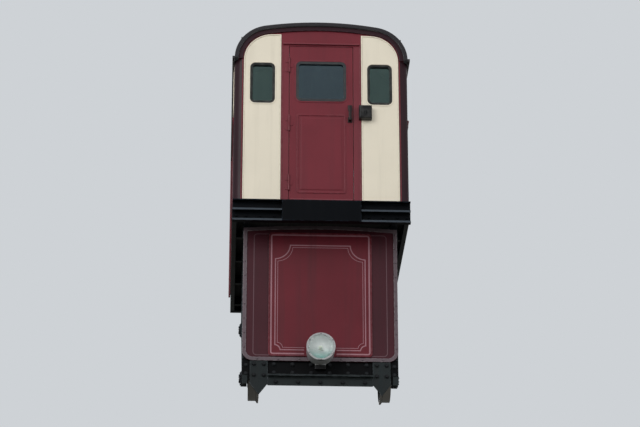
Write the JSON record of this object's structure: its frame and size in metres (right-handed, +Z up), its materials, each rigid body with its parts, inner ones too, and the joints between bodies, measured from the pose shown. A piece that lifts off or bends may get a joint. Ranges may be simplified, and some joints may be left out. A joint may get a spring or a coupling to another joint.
{
  "type": "two-axle funicular car with a level cabin",
  "caption": "Funicular car: level cabin with end doors on a wedge-shaped steel underframe with flanged wheels.",
  "frame": {"origin": "rail tops, midway between the rails, where the lower wheels touch them", "axes": "+X to the right seen from the downhill end, +Y uphill and level, +Z up"},
  "size_m": [2.082, 3.234, 4.538],
  "materials": {
    "frame_steel": "black paint, satin",
    "maroon_paint": "maroon paint, gloss",
    "cream_paint": "cream paint, gloss",
    "grey_trim": "grey paint, satin",
    "board_paint": "maroon paint, gloss",
    "lamp_grey": "pale grey paint",
    "lamp_glass": "clear lens",
    "window_glass": "tinted safety glass",
    "rubber": "matt black",
    "wheel_steel": "worn tread, oily sides",
    "roof_paint": "grey paint, weathered",
    "deck_board": "oiled boards",
    "bench_wood": "varnished slats",
    "pole_chrome": "polished",
    "lamp_diffuser": "opal",
    "case_black": "black"
  },
  "bodies": {
    "car": {"sole_bars": "frame_steel", "wedge_posts": "frame_steel", "wedge_braces": "frame_steel", "cross_ties": "frame_steel", "lower_headstock": "frame_steel", "axleboxes": "frame_steel", "axlebox_guides": "frame_steel", "track_brakes": "frame_steel", "draw_beam": "frame_steel", "rope_clevises": "frame_steel", "front_panel": "maroon_paint", "panel_rim": "grey_trim", "sign_board": "board_paint", "headlamp_shell": "lamp_grey", "headlamp_lens": "lamp_glass", "guard_irons": "frame_steel", "guard_bar": "frame_steel", "platform_longitudinals": "frame_steel", "cross_bearers": "frame_steel", "side_rails": "frame_steel", "end_sills": "frame_steel", "floor_deck": "deck_board", "side_lower_panels": "maroon_paint", "side_window_panels": "maroon_paint", "corner_posts": "maroon_paint", "end_panels": "cream_paint", "door_posts": "maroon_paint", "door_headers": "maroon_paint", "window_gaskets": "rubber", "window_glass": "window_glass", "lock_boxes": "case_black", "roof": "roof_paint", "roof_rims": "maroon_paint", "gutters": "roof_paint", "bench_seats": "bench_wood", "bench_backs": "bench_wood", "grab_poles": "pole_chrome", "ceiling_lights": "lamp_diffuser"},
    "front_door": {"front_door_leaf": "maroon_paint", "front_door_gasket": "rubber", "front_door_glass": "window_glass", "front_door_handle": "pole_chrome"},
    "rear_door": {"rear_door_leaf": "maroon_paint", "rear_door_gasket": "rubber", "rear_door_glass": "window_glass", "rear_door_handle": "pole_chrome"},
    "lower_wheelset": {"lower_axle": "wheel_steel", "lower_wheels": "wheel_steel"},
    "upper_wheelset": {"upper_axle": "wheel_steel", "upper_wheels": "wheel_steel"}
  },
  "joints": [
    {"name": "front_door_hinge", "type": "hinge", "parent": "car", "child": "front_door", "pos_m": [-0.373, -0.787, 3.125], "axis": [0, 0, -1], "range_deg": [0, 100]},
    {"name": "rear_door_hinge", "type": "hinge", "parent": "car", "child": "rear_door", "pos_m": [0.373, 2.187, 3.125], "axis": [0, 0, -1], "range_deg": [0, 100]},
    {"name": "lower_wheelset_spin", "type": "hinge", "parent": "car", "child": "lower_wheelset", "pos_m": [0, -0.14464, 0.20391], "axis": [1, 0, 0], "continuous": true},
    {"name": "upper_wheelset_spin", "type": "hinge", "parent": "car", "child": "upper_wheelset", "pos_m": [0, 1.60571, 1.44552], "axis": [1, 0, 0], "continuous": true}
  ]
}
